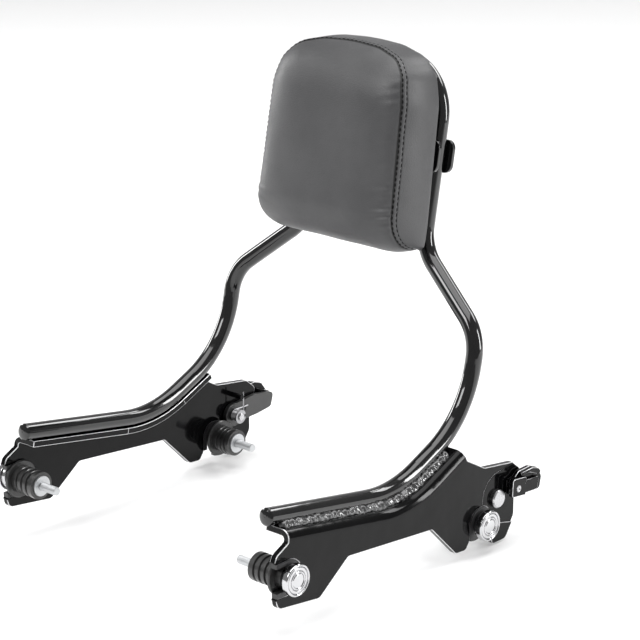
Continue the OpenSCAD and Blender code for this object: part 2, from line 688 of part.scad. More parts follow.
// Flat bars before and behind the tube, with rounded ends
module bar_outline() {
    length = 2 * (hoop_x + bar_over);
    difference() {
        polygon(rounded([for (c = [[-1, -1], [1, -1], [1, 1], [-1, 1]]) [c[0] * length / 2, c[1] * bar_h / 2, 8]]));
        for (s = [-1, 1]) translate([s * clamp_pitch / 2, 0]) circle(d = clamp_d + 0.6);
    }
}
module bar_front() {
    color("#171717") leaning() translate([0, -tube_r - seat_gap, bar_z]) rotate([90, 0, 0]) linear_extrude(bar_t)
        bar_outline();
}
module bar_rear() {
    color("#171717") leaning() translate([0, tube_r + seat_gap + bar_t, bar_z]) rotate([90, 0, 0])
        linear_extrude(bar_t) bar_outline();
}

// Sleeves between the bars, a little shorter than the tube is thick
module bar_spacers() {
    color("#909090") leaning() for (s = [-1, 1]) translate([s * clamp_pitch / 2, -tube_r - seat_gap, bar_z])
        rotate([-90, 0, 0]) difference() {
            cylinder(h = tube_d + 2 * seat_gap, d = clamp_d + 6);
            translate([0, 0, -1]) cylinder(h = tube_d + 3, d = clamp_d + 0.6);
        }
}

// Button-head bolts from behind, into nuts in the back board
module clamp_bolts() {
    back = tube_r + seat_gap + bar_t;
    head_h = clamp_d * 0.55;
    length = back - (board_back - board_t) - 0.3;
    color("#3a3a3a") leaning() for (s = [-1, 1]) translate([s * clamp_pitch / 2, back, bar_z]) rotate([-90, 0, 0])
        difference() {
            union() {
                rotate_extrude() polygon(concat([[0, 0], [clamp_d * 0.9, 0]],
                    [for (a = [0:18:72]) [clamp_d * (0.3 + 0.6 * cos(a)), head_h * sin(a)]], [[0, head_h]]));
                translate([0, 0, -length]) cylinder(h = length, d = clamp_d);
            }
            translate([0, 0, head_h * 0.35]) cylinder(h = head_h, d = clamp_d * 0.62, $fn = 6);
        }
}

// Nuts set flush into the front of the back board
module clamp_nuts() {
    color("#9a9a9a") pad_leaning() for (s = [-1, 1]) translate([s * clamp_pitch / 2, nut_front, bar_z])
        rotate([-90, 0, 0]) difference() {
            cylinder(h = nut_h, d = clamp_d * 1.7, $fn = 6);
            translate([0, 0, -1]) cylinder(h = clamp_d, d = clamp_d + 1);
        }
}

// Pan-head screws that hold the cover's edge to the board, seen from behind
module board_screws() {
    color("#4a4a4a") pad_leaning() for (s = [-1, 1]) for (z = [pad_low + 27, pad_top - 30])
        translate([s * (pad_w / 2 - 22), board_back, z]) rotate([-90, 0, 0]) rotate_extrude()
            polygon([[0, 0], [4, 0], [3.8, 1], [2.6, 2], [0, 2.2]]);
}

from_datum() hoop_tube();
from_datum() side_plate_left();
from_datum() side_plate_right();
from_datum() weld_left();
from_datum() weld_right();
from_datum() tube_plugs();
from_datum() front_spool_left();
from_datum() front_spool_right();
from_datum() rear_spool_left();
from_datum() rear_spool_right();
from_datum() front_cap_left();
from_datum() front_cap_right();
from_datum() rear_cap_left();
from_datum() rear_cap_right();
from_datum() front_liner_left();
from_datum() front_liner_right();
from_datum() rear_liner_left();
from_datum() rear_liner_right();
from_datum() dock_bolts();
from_datum() dock_washers();
from_datum() latch_hook_left();
from_datum() latch_hook_right();
from_datum() latch_thumb_left();
from_datum() latch_thumb_right();
from_datum() thumb_screw_left();
from_datum() thumb_screw_right();
from_datum() pivot_pin_left();
from_datum() pivot_pin_right();
from_datum() pivot_clips();
from_datum() return_spring_left();
from_datum() return_spring_right();
from_datum() stop_studs();
from_datum() pad_cushion();
from_datum() back_board();
from_datum() bar_front();
from_datum() bar_rear();
from_datum() bar_spacers();
from_datum() clamp_bolts();
from_datum() clamp_nuts();
from_datum() board_screws();
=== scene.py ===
# %% [markdown]
# # A detachable passenger backrest for a motorcycle
# A stuffed vinyl pad rides on one bent, gloss-black tube. The tube is welded to two cut steel
# plates, and the plates drop over four docking spools and lock with sprung hooks. The rigid
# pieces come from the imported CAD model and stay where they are. This script gives them their
# finishes and adds what CAD left plain: the sewn pad with its thread, the weld beads, the rings
# of the caps and the threads of the bolts.

import json
import math

import bmesh
import bpy
import numpy as np
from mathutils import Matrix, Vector

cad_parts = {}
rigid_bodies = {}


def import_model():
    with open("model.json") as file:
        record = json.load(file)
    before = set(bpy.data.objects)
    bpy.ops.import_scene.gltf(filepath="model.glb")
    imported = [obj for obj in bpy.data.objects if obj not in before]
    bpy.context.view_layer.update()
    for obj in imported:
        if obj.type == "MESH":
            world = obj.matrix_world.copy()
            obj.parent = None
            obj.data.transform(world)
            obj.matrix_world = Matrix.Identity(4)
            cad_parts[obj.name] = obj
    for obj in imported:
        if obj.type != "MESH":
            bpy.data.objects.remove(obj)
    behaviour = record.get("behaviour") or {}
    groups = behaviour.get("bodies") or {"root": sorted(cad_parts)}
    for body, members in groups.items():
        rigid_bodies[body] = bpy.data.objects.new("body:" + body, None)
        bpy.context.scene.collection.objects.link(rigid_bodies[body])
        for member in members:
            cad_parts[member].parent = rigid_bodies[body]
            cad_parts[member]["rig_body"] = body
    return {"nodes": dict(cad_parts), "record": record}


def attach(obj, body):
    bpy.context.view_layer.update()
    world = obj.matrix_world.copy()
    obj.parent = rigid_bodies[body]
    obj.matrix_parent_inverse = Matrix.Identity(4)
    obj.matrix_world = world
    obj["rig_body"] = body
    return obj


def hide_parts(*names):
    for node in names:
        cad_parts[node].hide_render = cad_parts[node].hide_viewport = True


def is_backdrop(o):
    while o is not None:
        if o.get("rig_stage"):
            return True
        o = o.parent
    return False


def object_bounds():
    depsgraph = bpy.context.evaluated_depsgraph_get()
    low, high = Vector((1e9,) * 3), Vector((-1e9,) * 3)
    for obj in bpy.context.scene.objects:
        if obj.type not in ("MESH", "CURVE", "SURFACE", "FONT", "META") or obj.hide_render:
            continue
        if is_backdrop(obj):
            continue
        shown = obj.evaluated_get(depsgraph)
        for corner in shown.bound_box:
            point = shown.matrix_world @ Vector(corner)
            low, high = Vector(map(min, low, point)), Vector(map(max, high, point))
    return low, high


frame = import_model()
nodes = frame["nodes"]
cad_low, cad_high = (list(corner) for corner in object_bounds())
MM = 0.001
MIDDLE_X = -0.1367  # the plane midway between the side plates; the origin is on a left-hand bolt
SIDES = ((1, "left"), (-1, "right"))  # direction along X, and the side's name
DOCKS = (("front", 0.0, 0.0), ("rear", 257.0, -30.0))  # each docking axis: name, y and z in millimetres
print("CAD nodes:", len(nodes))
print("CAD box in metres:", cad_low, cad_high)

# %% [markdown]
# ## Camera first
# A photograph fixes the eye's place, not only its angle. A long lens from far away keeps the two
# side plates nearly parallel. Azimuth 0 would look along +Y; this view comes from the front left.

# %% Camera
VIEW_AZIMUTH = math.radians(42.54)
VIEW_ELEVATION = math.radians(17.9)
VIEW_DISTANCE = 2.387
VIEW_TARGET = np.array([MIDDLE_X, 0.22994, 0.13468])
VIEW_ROLL = math.radians(-0.25)  # the picture is held a quarter of a degree off level
LENS = 144.0


def aim(thing, place, target):
    """Puts thing at place and turns it so that its own -Z axis runs to target."""
    thing.location = place
    thing.rotation_euler = (Vector(target) - Vector(place)).to_track_quat("-Z", "Y").to_euler()


def direction(azimuth, elevation):
    """Unit vector towards the viewer: sine and cosine of the azimuth in plan, raised by elevation."""
    flat = math.cos(elevation)
    return np.array([math.sin(azimuth) * flat, -math.cos(azimuth) * flat, math.sin(elevation)])


camera_data = bpy.data.cameras.new("camera")
camera_data.lens = LENS
camera_data.sensor_width = 36.0
camera_data.clip_end = 50.0
camera = bpy.data.objects.new("camera", camera_data)
bpy.context.scene.collection.objects.link(camera)
aim(camera, VIEW_TARGET + VIEW_DISTANCE * direction(VIEW_AZIMUTH, VIEW_ELEVATION), VIEW_TARGET)
camera.rotation_euler.rotate_axis("Z", VIEW_ROLL)
bpy.context.scene.camera = camera
print("camera at:", [round(value, 3) for value in camera.location])

# %% [markdown]
# ## Tools for surfaces
# Most new pieces are grids: a function of two parameters, worked out for all points at once. Rows
# run along one parameter and columns along the other. Where a piece goes round on itself, as a
# bolt or a bead does, the last column joins the first, and one face closes each open end.


# %% Grids to meshes
def grid_faces(rows, columns, closed_columns=False):
    """Quads between neighbours: (i, j), (i, j+1), (i+1, j+1), (i+1, j), columns wrapped where closed."""
    i = np.arange(rows - 1)
    j = np.arange(columns if closed_columns else columns - 1)
    i, j = np.meshgrid(i, j, indexing="ij")
    i2, j2 = i + 1, (j + 1) % columns
    corners = [i * columns + j, i * columns + j2, i2 * columns + j2, i2 * columns + j]
    return np.stack(corners, -1).reshape(-1, 4)


def rod_faces(rows, columns):
    """Faces of a closed rod: quads all round, then one face over the first ring and one over the last."""
    faces = grid_faces(rows, columns, closed_columns=True).tolist()
    return faces + [list(range(columns)), [(rows - 1) * columns + k for k in range(columns)]]


def make_piece(name, points, faces, body, material, weld=0.0, outward=True):
    """One smooth mesh object from points in metres and faces; doubles nearer than weld are merged."""
    mesh = bpy.data.meshes.new(name)
    mesh.from_pydata(np.asarray(points).reshape(-1, 3).tolist(), [], [list(f) for f in faces])
    if weld > 0 or outward:
        work = bmesh.new()
        work.from_mesh(mesh)
        if weld > 0:
            bmesh.ops.remove_doubles(work, verts=work.verts, dist=weld)
        if outward:
            bmesh.ops.recalc_face_normals(work, faces=work.faces)
        work.to_mesh(mesh)
        work.free()
    mesh.polygons.foreach_set("use_smooth", [True] * len(mesh.polygons))
    mesh.materials.append(material)
    piece = bpy.data.objects.new(name, mesh)
    bpy.context.scene.collection.objects.link(piece)
    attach(piece, body)
    return piece


def unit(v):
    """Vectors divided by their own lengths."""
    return v / np.maximum(np.linalg.norm(v, axis=-1, keepdims=True), 1e-12)


# %% [markdown]
# ## Finishes
# Black gloss is mostly reflection: a nearly black base under a clear coat. What tells powder coat
# from glass is a faint unevenness, so the coat's normal gets a very shallow, wide bump. First come
# a few short helpers, each of which adds one node and hands back its output socket.


# %% Node helpers
def new_group(name, inputs, outputs):
    """An empty shader node group with float inputs and outputs; returns it with its two end nodes."""
    group = bpy.data.node_groups.new(name, "ShaderNodeTree")
    for label, value in inputs.items():
        socket = group.interface.new_socket(label, in_out="INPUT", socket_type="NodeSocketFloat")
        socket.default_value = value
    for label in outputs:
        group.interface.new_socket(label, in_out="OUTPUT", socket_type="NodeSocketFloat")
    first = group.nodes.new("NodeGroupInput")
    last = group.nodes.new("NodeGroupOutput")
    return group, first, last


def noise(tree, vector, scale, detail=3.0, rough=0.5):
    """A noise node fed with vector."""
    made = tree.nodes.new("ShaderNodeTexNoise")
    made.inputs["Scale"].default_value = scale
    made.inputs["Detail"].default_value = detail
    made.inputs["Roughness"].default_value = rough
    tree.links.new(vector, made.inputs["Vector"])
    return made.outputs["Fac"]


def spread(tree, value, low, high, to_low=0.0, to_high=1.0):
    """Maps value from low..high to to_low..to_high, held at the ends."""
    made = tree.nodes.new("ShaderNodeMapRange")
    for label, number in (("From Min", low), ("From Max", high), ("To Min", to_low), ("To Max", to_high)):
        made.inputs[label].default_value = number
    tree.links.new(value, made.inputs["Value"])
    return made.outputs["Result"]


def arithmetic(tree, operation, a, b=0.0):
    """One maths node; a and b are sockets or numbers."""
    made = tree.nodes.new("ShaderNodeMath")
    made.operation = operation
    for socket, value in zip(made.inputs, (a, b)):
        if isinstance(value, (int, float)):
            socket.default_value = value
        else:
            tree.links.new(value, socket)
    return made.outputs[0]


def object_coordinates(tree):
    """Object coordinates, which equal the part's own frame because no piece is moved."""
    return tree.nodes.new("ShaderNodeTexCoord").outputs["Object"]


# %% [markdown]
# ### Effects that many finishes share
# Sprayed paint and a film of dust look the same on every piece that has them. Each is worked out
# once, in a node group, and a material places the group with its own strengths. The dust is
# patchy and lies thicker on faces that look up.


# %% Shared effects
def build_unevenness():
    """Height of a sprayed coat: wide soft swells plus a little fine orange peel."""
    group, first, last = new_group("coat_unevenness", {"Swell": 1.0, "Peel": 0.3}, ["Height"])
    place = object_coordinates(group)
    swell = arithmetic(group, "MULTIPLY", noise(group, place, 45.0, 1.0), first.outputs["Swell"])
    peel = arithmetic(group, "MULTIPLY", noise(group, place, 700.0, 1.0), first.outputs["Peel"])
    group.links.new(arithmetic(group, "ADD", swell, peel), last.inputs["Height"])
    return group


def build_dust():
    """A thin film of dust: 0 to 1, patchy, thicker on faces that look up."""
    group, first, last = new_group("dust_film", {"Amount": 0.3}, ["Mask"])
    place = object_coordinates(group)
    patches = spread(group, noise(group, place, 22.0, 5.0, 0.6), 0.42, 0.75)
    facing = group.nodes.new("ShaderNodeSeparateXYZ")
    geometry = group.nodes.new("ShaderNodeNewGeometry")
    group.links.new(geometry.outputs["Normal"], facing.inputs[0])
    upward = spread(group, facing.outputs["Z"], -0.2, 1.0, 0.25, 1.0)
    film = arithmetic(group, "MULTIPLY", patches, upward)
    group.links.new(arithmetic(group, "MULTIPLY", film, first.outputs["Amount"]), last.inputs["Mask"])
    return group


UNEVENNESS = build_unevenness()
DUST = build_dust()
print("shared effects:", [group.name for group in bpy.data.node_groups])


# %% Placing a group, starting a material, bending its normal
def place_group(tree, group, **values):
    """Puts a shared group into a material with its own values."""
    node = tree.nodes.new("ShaderNodeGroup")
    node.node_tree = group
    for label, value in values.items():
        node.inputs[label].default_value = value
    return node.outputs[0]


def start_material(name):
    """A material with its Principled shader; returns material, tree and shader."""
    material = bpy.data.materials.new(name)
    material.use_nodes = True
    tree = material.node_tree
    return material, tree, tree.nodes["Principled BSDF"]


def bump_into(tree, shader, height, distance, strength=1.0):
    """Bends the shader's normal by height (0 to 1) times distance in metres."""
    made = tree.nodes.new("ShaderNodeBump")
    made.inputs["Distance"].default_value = distance
    made.inputs["Strength"].default_value = strength
    tree.links.new(height, made.inputs["Height"])
    tree.links.new(made.outputs["Normal"], shader.inputs["Normal"])


# %% [markdown]
# ### Paint, bare metal and moulded plastic
# Three functions cover every rigid piece. Paint is a dark base, a clear coat and dust. Metal is
# fully metallic, and fine noise in its roughness keeps it from looking like a mirror ball. Moulded
# plastic has the fine texture that spark erosion leaves in the tool.


# %% Painted, plated and moulded finishes
DUST_COLOUR = (0.09, 0.09, 0.088)
DUST_DULLS = 0.35  # how much a full film of dust adds to the roughness


def two_colours(tree, shader, first, second, factor):
    """Base colour mixed from first to second by factor."""
    mix = tree.nodes.new("ShaderNodeMix")
    mix.data_type = "RGBA"
    mix.inputs["A"].default_value = (*first, 1)
    mix.inputs["B"].default_value = (*second, 1)
    tree.links.new(factor, mix.inputs["Factor"])
    tree.links.new(mix.outputs["Result"], shader.inputs["Base Color"])


def painted(name, colour, rough, coat, swell, peel, dust=0.25, shine=0.5):
    """Paint: dark base, clear coat, uneven normal and a patchy film of dust that dulls it."""
    material, tree, shader = start_material(name)
    film = place_group(tree, DUST, Amount=dust)
    two_colours(tree, shader, colour, DUST_COLOUR, film)
    dulled = arithmetic(tree, "ADD", rough, arithmetic(tree, "MULTIPLY", film, DUST_DULLS))
    tree.links.new(dulled, shader.inputs["Roughness"])
    shader.inputs["Coat Weight"].default_value = coat
    shader.inputs["Specular IOR Level"].default_value = shine
    shader.inputs["Coat Roughness"].default_value = 0.03
    bump_into(tree, shader, place_group(tree, UNEVENNESS, Swell=swell, Peel=peel), 0.00022)
    return material


def metal(name, colour, rough, wear=0.12):
    """Bare or plated metal: fully metallic, roughness between rough and rough + wear by fine noise."""
    material, tree, shader = start_material(name)
    marks = noise(tree, object_coordinates(tree), 260.0, 4.0, 0.65)
    shader.inputs["Base Color"].default_value = (*colour, 1)
    shader.inputs["Metallic"].default_value = 1.0
    tree.links.new(spread(tree, marks, 0.3, 0.7, rough, rough + wear), shader.inputs["Roughness"])
    bump_into(tree, shader, marks, 0.00003)
    return material


def moulded(name, colour, rough):
    """Moulded plastic: even colour, fine spark-eroded texture."""
    material, tree, shader = start_material(name)
    place = object_coordinates(tree)
    two_colours(tree, shader, colour, (0.12, 0.12, 0.115), place_group(tree, DUST, Amount=0.2))
    shader.inputs["Roughness"].default_value = rough
    bump_into(tree, shader, noise(tree, place, 1500.0, 2.0), 0.00012, 0.6)
    return material


# %% The finishes
GLOSS = painted("gloss_black_tube", (0.003, 0.003, 0.0032), 0.1, 0.8, 0.9, 0.05, 0.06, 0.3)
PLATE = painted("gloss_black_plate", (0.002, 0.002, 0.0022), 0.12, 0.15, 2.2, 0.06, 0.03, 0.1)
BEAD = painted("coated_weld", (0.035, 0.035, 0.036), 0.24, 1.0, 2.0, 0.5, 0.1)
SATIN = painted("satin_black_hardware", (0.012, 0.012, 0.012), 0.34, 0.35, 1.0, 0.2, 0.3)
CHROME = metal("polished_cap", (0.56, 0.56, 0.57), 0.08, wear=0.08)
BRIGHT = metal("polished_steel", (0.5, 0.5, 0.51), 0.22)
# painted highlight: bright grey metal on the rounded edges of the plates and thumbs, standing in for the
# light that their black coat catches
EDGE_HIGHLIGHT = metal("painted_edge_highlight", (0.62, 0.62, 0.63), 0.26)
ZINC = metal("zinc_plate", (0.52, 0.53, 0.54), 0.3, wear=0.2)
SPRING = metal("spring_wire", (0.36, 0.36, 0.37), 0.28)
OXIDE = painted("black_oxide", (0.02, 0.02, 0.021), 0.4, 0.2, 0.6, 0.5, 0.25)
PLASTIC = moulded("back_board_plastic", (0.014, 0.014, 0.015), 0.5)
LINER = moulded("slot_liner", (0.02, 0.02, 0.021), 0.42)

# %% Finishes onto the CAD nodes
SLOT_OF = {row["node"]: row["material_slot"] for row in frame["record"]["subparts"]}
FINISH = {
    "black_tube": GLOSS, "black_plate": PLATE, "weld": BEAD, "black_plug": GLOSS, "spool": SATIN,
    "cap_chrome": CHROME, "liner": LINER, "zinc": ZINC, "hook": SATIN, "thumb": PLATE,
    "bright_steel": BRIGHT, "spring_steel": SPRING, "board": PLASTIC, "black_bar": GLOSS,
    "black_bolt": OXIDE, "vinyl": PLASTIC,
}
for node, slot in SLOT_OF.items():
    mesh = nodes[node].data
    mesh.materials.clear()
    mesh.materials.append(FINISH[slot])
print("finishes:", len(set(FINISH.values())), "on", len(SLOT_OF), "nodes")

# %% [markdown]
# ## Edges that catch light
# Cut and painted steel never has a knife edge: the coat rounds it, and that line of light is what
# makes a black plate readable. A copy of the CAD mesh is merged, its flat triangles are dissolved,
# and the outer edges are bevelled. On the plates and thumbs the bevels get a bright metal finish,
# a painted highlight along each edge.


# %% Softened copies
SLIVER = 0.04 * MM  # points nearer than this are one point
NEARLY_FLAT = math.radians(1.0)
SHARP = math.radians(50)
ROOM = 2.2  # the faces beside a rounded edge are at least this many times its width


def softened(name, width, rim=None):
    """A copy of a CAD node with its outer edges rounded; where rim is given, the rounded faces take that
    finish as a painted highlight.

    An edge is rounded where it is convex and sharp, and where the faces beside it leave room."""
    source = nodes[name]
    mesh = source.data.copy()
    work = bmesh.new()
    work.from_mesh(mesh)
    bmesh.ops.remove_doubles(work, verts=work.verts, dist=SLIVER)
    bmesh.ops.dissolve_degenerate(work, dist=SLIVER, edges=work.edges)
    bmesh.ops.dissolve_limit(work, angle_limit=NEARLY_FLAT, verts=work.verts, edges=work.edges)
    sharp = {e for e in work.edges if e.is_convex and e.calc_face_angle(0) > SHARP}
    roomy = [e for e in work.edges if e in sharp and e.calc_length() > 0.3 * MM and all(
        other in sharp or other.calc_length() > ROOM * width for v in e.verts for other in v.link_edges)]
    bmesh.ops.bevel(work, geom=roomy, offset=width, offset_type="OFFSET", segments=2, profile=0.5,
                    affect="EDGES", clamp_overlap=False, material=-1 if rim is None else 1)
    work.to_mesh(mesh)
    work.free()
    mesh.polygons.foreach_set("use_smooth", [True] * len(mesh.polygons))
    mesh.set_sharp_from_angle(angle=math.radians(35))
    # the rounded faces take the second finish: a painted highlight along the edges
    if rim is not None:
        mesh.materials.append(rim)
    piece = bpy.data.objects.new(name + "_rounded", mesh)
    bpy.context.scene.collection.objects.link(piece)
    shading = piece.modifiers.new("flat_faces_stay_flat", "WEIGHTED_NORMAL")
    shading.mode = "FACE_AREA"
    shading.weight = 100
    shading.keep_sharp = True
    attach(piece, source["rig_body"])
    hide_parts(name)
    print(piece.name, len(roomy), "edges rounded,", len(mesh.polygons), "faces")


# the plates and thumbs get the painted highlight on their rounded edges
for _, side in SIDES:
    softened("side_plate_" + side, 0.6 * MM, rim=EDGE_HIGHLIGHT)
    softened("latch_thumb_" + side, 0.45 * MM, rim=EDGE_HIGHLIGHT)
    softened("latch_hook_" + side, 0.5 * MM)
for name in ("bar_front", "bar_rear"):
    softened(name, 0.7 * MM)

# %% [markdown]
# ## The pad
# A sewn pad is two pieces of vinyl over foam: a front panel that rolls under at the bottom, and a
# side band, the gusset, that runs up one side, over the top and down the other. Foam pushes both
# out, and the seam pulls them in. One flat pattern of the front panel, bent over a profile and
# lowered towards its edge, gives the right roll everywhere, the bottom corners included.

# %% Pad sizes and its own axes
PAD_ORIGIN = np.array([MIDDLE_X, 0.245, 0.3])
PAD_LEAN = math.radians(9.8)
PAD_UP = np.array([0.0, math.sin(PAD_LEAN), math.cos(PAD_LEAN)])
PAD_OUT = np.array([0.0, -math.cos(PAD_LEAN), math.sin(PAD_LEAN)])
CROWN = 12.0  # the panel's middle stands this far in front of its seam, in millimetres
TOP_FALL = 14.5  # the seam lies this much further back at the top than at the sides
FALL_START, FALL_SPAN = 46.0, 50.0  # above the pad's middle: where that begins, and over what height
ROLL_START = 50.0  # below the pad's middle, where the front begins to roll under
ROLL_RADIUS = 41.0
SEAM_DEPTH = 44.0  # from the seam back to the gusset's rear edge
UNDER = SEAM_DEPTH + CROWN - ROLL_RADIUS  # straight run under the pad, behind the roll
PANEL_END = ROLL_START + ROLL_RADIUS * math.pi / 2 + UNDER


def pad_place(x, v, w):
    """Pad axes to metres: x across, v up the pad's lean and w out of its front, from the pad's origin."""
    x, v, w = np.broadcast_arrays(x, v, w)
    across = np.array([1.0, 0.0, 0.0])
    return PAD_ORIGIN + MM * (x[..., None] * across + v[..., None] * PAD_UP + w[..., None] * PAD_OUT)


def centre_profile(q, sink):
    """Height v and depth w at arc length q down the crown line.

    The line curves back towards the top, is straight, turns a quarter round and runs straight back.
    sink moves the point inwards along the line's normal, so a parallel line lies inside the first."""
    turn = np.clip((q - ROLL_START) / ROLL_RADIUS, 0.0, math.pi / 2)
    front = np.minimum(q, ROLL_START)
    back = np.maximum(q - ROLL_START - ROLL_RADIUS * math.pi / 2, 0.0)
    top = TOP_FALL * np.clip((-q - FALL_START) / FALL_SPAN, 0, None) ** 2.3
    v = -front - (ROLL_RADIUS - sink) * np.sin(turn)
    w = CROWN - sink - (ROLL_RADIUS - sink) * (1 - np.cos(turn)) - back - top
    return v, w


# %% [markdown]
# ### The panel's pattern
# On the bench the front panel is a flat piece of vinyl. Its outline is a few corners with a radius
# each, the same on both sides, and it is cut into points at an even spacing. The pattern's lower
# part is the stretch that rolls under the pad.


# %% The front panel's pattern
def rounded_outline(corners, spacing):
    """Closed outline through corners (x, y, radius): straight edges, a curve at each, even spacing."""
    corners = np.asarray(corners, float)
    points = []
    for i, (x, y, radius) in enumerate(corners):
        here = np.array([x, y])
        before, after = corners[i - 1, :2], corners[(i + 1) % len(corners), :2]
        a, b = unit(before - here), unit(after - here)
        half = math.acos(np.clip(a @ b, -1, 1)) / 2
        longest = 0.48 * min(np.linalg.norm(before - here), np.linalg.norm(after - here))
        cut = min(radius / math.tan(half), longest)
        t = np.linspace(0, 1, 24)[:, None]
        points.append((1 - t) ** 2 * (here + a * cut) + 2 * t * (1 - t) * here + t**2 * (here + b * cut))
    loop = np.concatenate(points)
    loop = np.concatenate([loop, loop[:1]])
    length = np.concatenate([[0], np.cumsum(np.linalg.norm(np.diff(loop, axis=0), axis=1))])
    count = int(length[-1] / spacing)
    even = np.linspace(0, length[-1], count, endpoint=False)
    return np.stack([np.interp(even, length, loop[:, k]) for k in (0, 1)], -1)


HALF = [  # the left half's corners from the top down: x, distance q down the pad, radius
    (0, -96.7, 200), (34, -94.4, 60), (60.5, -87, 34), (72.8, -73, 24), (78.8, -50, 60), (80.4, 0, 300),
    (84, PANEL_END, 5)]
SPACING = 1.4  # between points along the seam
PATTERN = rounded_outline(HALF + [(-x, q, r) for x, q, r in HALF[:0:-1]], SPACING)
MIDDLE = np.array([0.0, 8.0])  # the rings of the panel shrink towards this point
print("seam points round the panel:", len(PATTERN))


# %% Normals of a loop, and soft relief
def loop_normals(loop):
    """Outward unit normals of a closed loop in the plane, for the turn that PATTERN has."""
    along = unit(np.roll(loop, -1, axis=0) - np.roll(loop, 1, axis=0))
    normal = np.stack([along[:, 1], -along[:, 0]], -1)
    return normal * np.sign(np.sum(normal * (loop - loop.mean(0)), axis=1, keepdims=True))


def soft_field(a, b, wavelength, seed):
    """Gentle random relief, -1 to 1: twelve plane waves of about one wavelength, in seeded directions."""
    draw = np.random.default_rng(seed)
    angle = draw.uniform(0, 2 * np.pi, 12)
    k = 2 * np.pi / (wavelength * draw.uniform(0.7, 1.5, 12))
    phase = draw.uniform(0, 2 * np.pi, 12)
    waves = np.cos(a[..., None] * k * np.cos(angle) + b[..., None] * k * np.sin(angle) + phase)
    return waves.sum(-1) / math.sqrt(12) / 1.6


# %% [markdown]
# ### Puckers
# Where thread pulls a stuffed panel, small creases run in from the seam. Each is a valley with a
# low ridge beside it, deepest a little way in, and it fades over one or two centimetres.

# %% Front panel surface
CROWN_POWER, EDGE_POWER = 4.0, 16  # how flat the middle is, and how suddenly the panel turns at its seam
UNDER_CROWN = 7.0  # the crown's height under the pad
FOOT_BULGE = 3.4  # foam pushes the lower corners out by this much
GROOVE = 1.2  # depth of the fold on the join itself
PUCKERS = [  # height up the pad, depth, reach inwards, and side (+1 is the bike's left)
    (72, 0.8, 9, 1), (63, 0.9, 11, 1), (54, 0.8, 11, 1), (44, 0.5, 11, 1), (18, 0.4, 11, 1),
    (-4, 0.6, 12, 1), (-14, 0.4, 10, 1), (-24, 0.9, 14, 1), (-33, 0.6, 12, 1), (-44, 2.3, 13, 1),
    (-52, 2.6, 14, 1), (-60, 1.6, 12, 1), (-68, 1.1, 16, 1),
    (60, 0.6, 14, -1), (41, 0.4, 12, -1), (6, 0.5, 14, -1), (-20, 0.7, 13, -1), (-47, 1.0, 16, -1),
    (-58, 0.8, 15, -1)]


def pucker_relief(x, q, inwards):
    """Sum of creases: minus a narrow bell at each place along the seam plus half a bell beside it."""
    relief = np.zeros_like(q)
    for height, depth, reach, side in PUCKERS:
        off = q + height - 0.22 * inwards
        bells = -np.exp(-((off / 2.4) ** 2)) + 0.6 * np.exp(-(((off - 4.2) / 2.6) ** 2))
        fade = np.exp(-inwards / reach * 1.6) * (1 - np.exp(-inwards / 1.4))
        relief += depth * bells * fade * (np.sign(x) == side)
    return relief


def front_panel():
    """Panel points (step, ring, 3): the pattern shrunk to its middle by r, sunk, then bent.

    sink = fall * (0.6 r^4 + 0.4 r^16) + a groove at the seam - creases - gentle swells."""
    per_cent = np.concatenate([np.arange(0, 5, 0.5), np.arange(5, 14, 1.0), np.linspace(14, 100, 52)])
    r = (1 - per_cent / 100)[:, None]
    away = PATTERN - MIDDLE
    normal = loop_normals(PATTERN)
    support = np.sum(away * normal, axis=1)[None, :]
    inwards = (1 - r) * support
    x = MIDDLE[0] + r * away[None, :, 0]
    q = MIDDLE[1] + r * away[None, :, 1]
    under = np.clip((q - ROLL_START) / (PANEL_END - ROLL_START), 0, 1)
    fall = CROWN * (1 - under) + UNDER_CROWN * under
    sink = fall * (0.6 * r**CROWN_POWER + 0.4 * r**EDGE_POWER)
    sink = sink + GROOVE * np.exp(-((inwards / 0.9) ** 2)) * (inwards > 0.2)
    sink = sink - pucker_relief(x, q, inwards)
    sink = sink - 0.35 * soft_field(x, q, 55.0, 4) * np.clip(inwards / 12, 0, 1)
    v, w = centre_profile(q, sink)
    low_corner = np.exp(-(((q - 70) / 30) ** 2)) * (np.abs(x) / 83) ** 4
    x = x + np.sign(x) * FOOT_BULGE * low_corner * (1 - np.exp(-inwards / 2.5)) * np.exp(-inwards / 22)
    return pad_place(x, v, w), x, v, w, inwards


panel, panel_x, panel_v, panel_w, panel_inwards = front_panel()
seam = np.stack([panel_x[0], panel_v[0], panel_w[0]], -1)
print("panel:", panel.shape[0], "steps inwards; seam depth from", seam[:, 2].min(), "to", seam[:, 2].max())


# %% [markdown]
# ### Gusset and rim
# The gusset starts at the same seam points, so both panels share their edge. It flares towards
# the back, bulges a little, turns round the board's rim and closes behind the foam.

# %% The gusset's rear edge
FLARE_TOP, FLARE_SIDE = 4.0, 6.5  # the rear edge stands this far outside the seam
BULGE_TOP, BULGE_SIDE = 1.0, 3.2  # and the strip between them swells this much
SEAM_ROW, GUSSET_ROW = 0.9, 4.9  # how far behind the seam the two rows of thread run
ROLL, VALLEY = 0.45, 0.45  # height of the rolled allowance between them, depth of the second row


def back_edge(points):
    """Where each seam point's strip ends: flared outwards in plan, at the rear depth, corners drawn in."""
    normal = loop_normals(points[:, :2])
    depth = points[:, 2] + SEAM_DEPTH
    flare = FLARE_TOP + (FLARE_SIDE - FLARE_TOP) * np.abs(normal[:, 0])
    flare = flare * np.clip(depth / SEAM_DEPTH, 0, 1) ** 0.6
    edge = points.copy()
    edge[:, :2] += normal * flare[:, None]
    edge[:, 2] = -SEAM_DEPTH
    return edge, normal, depth


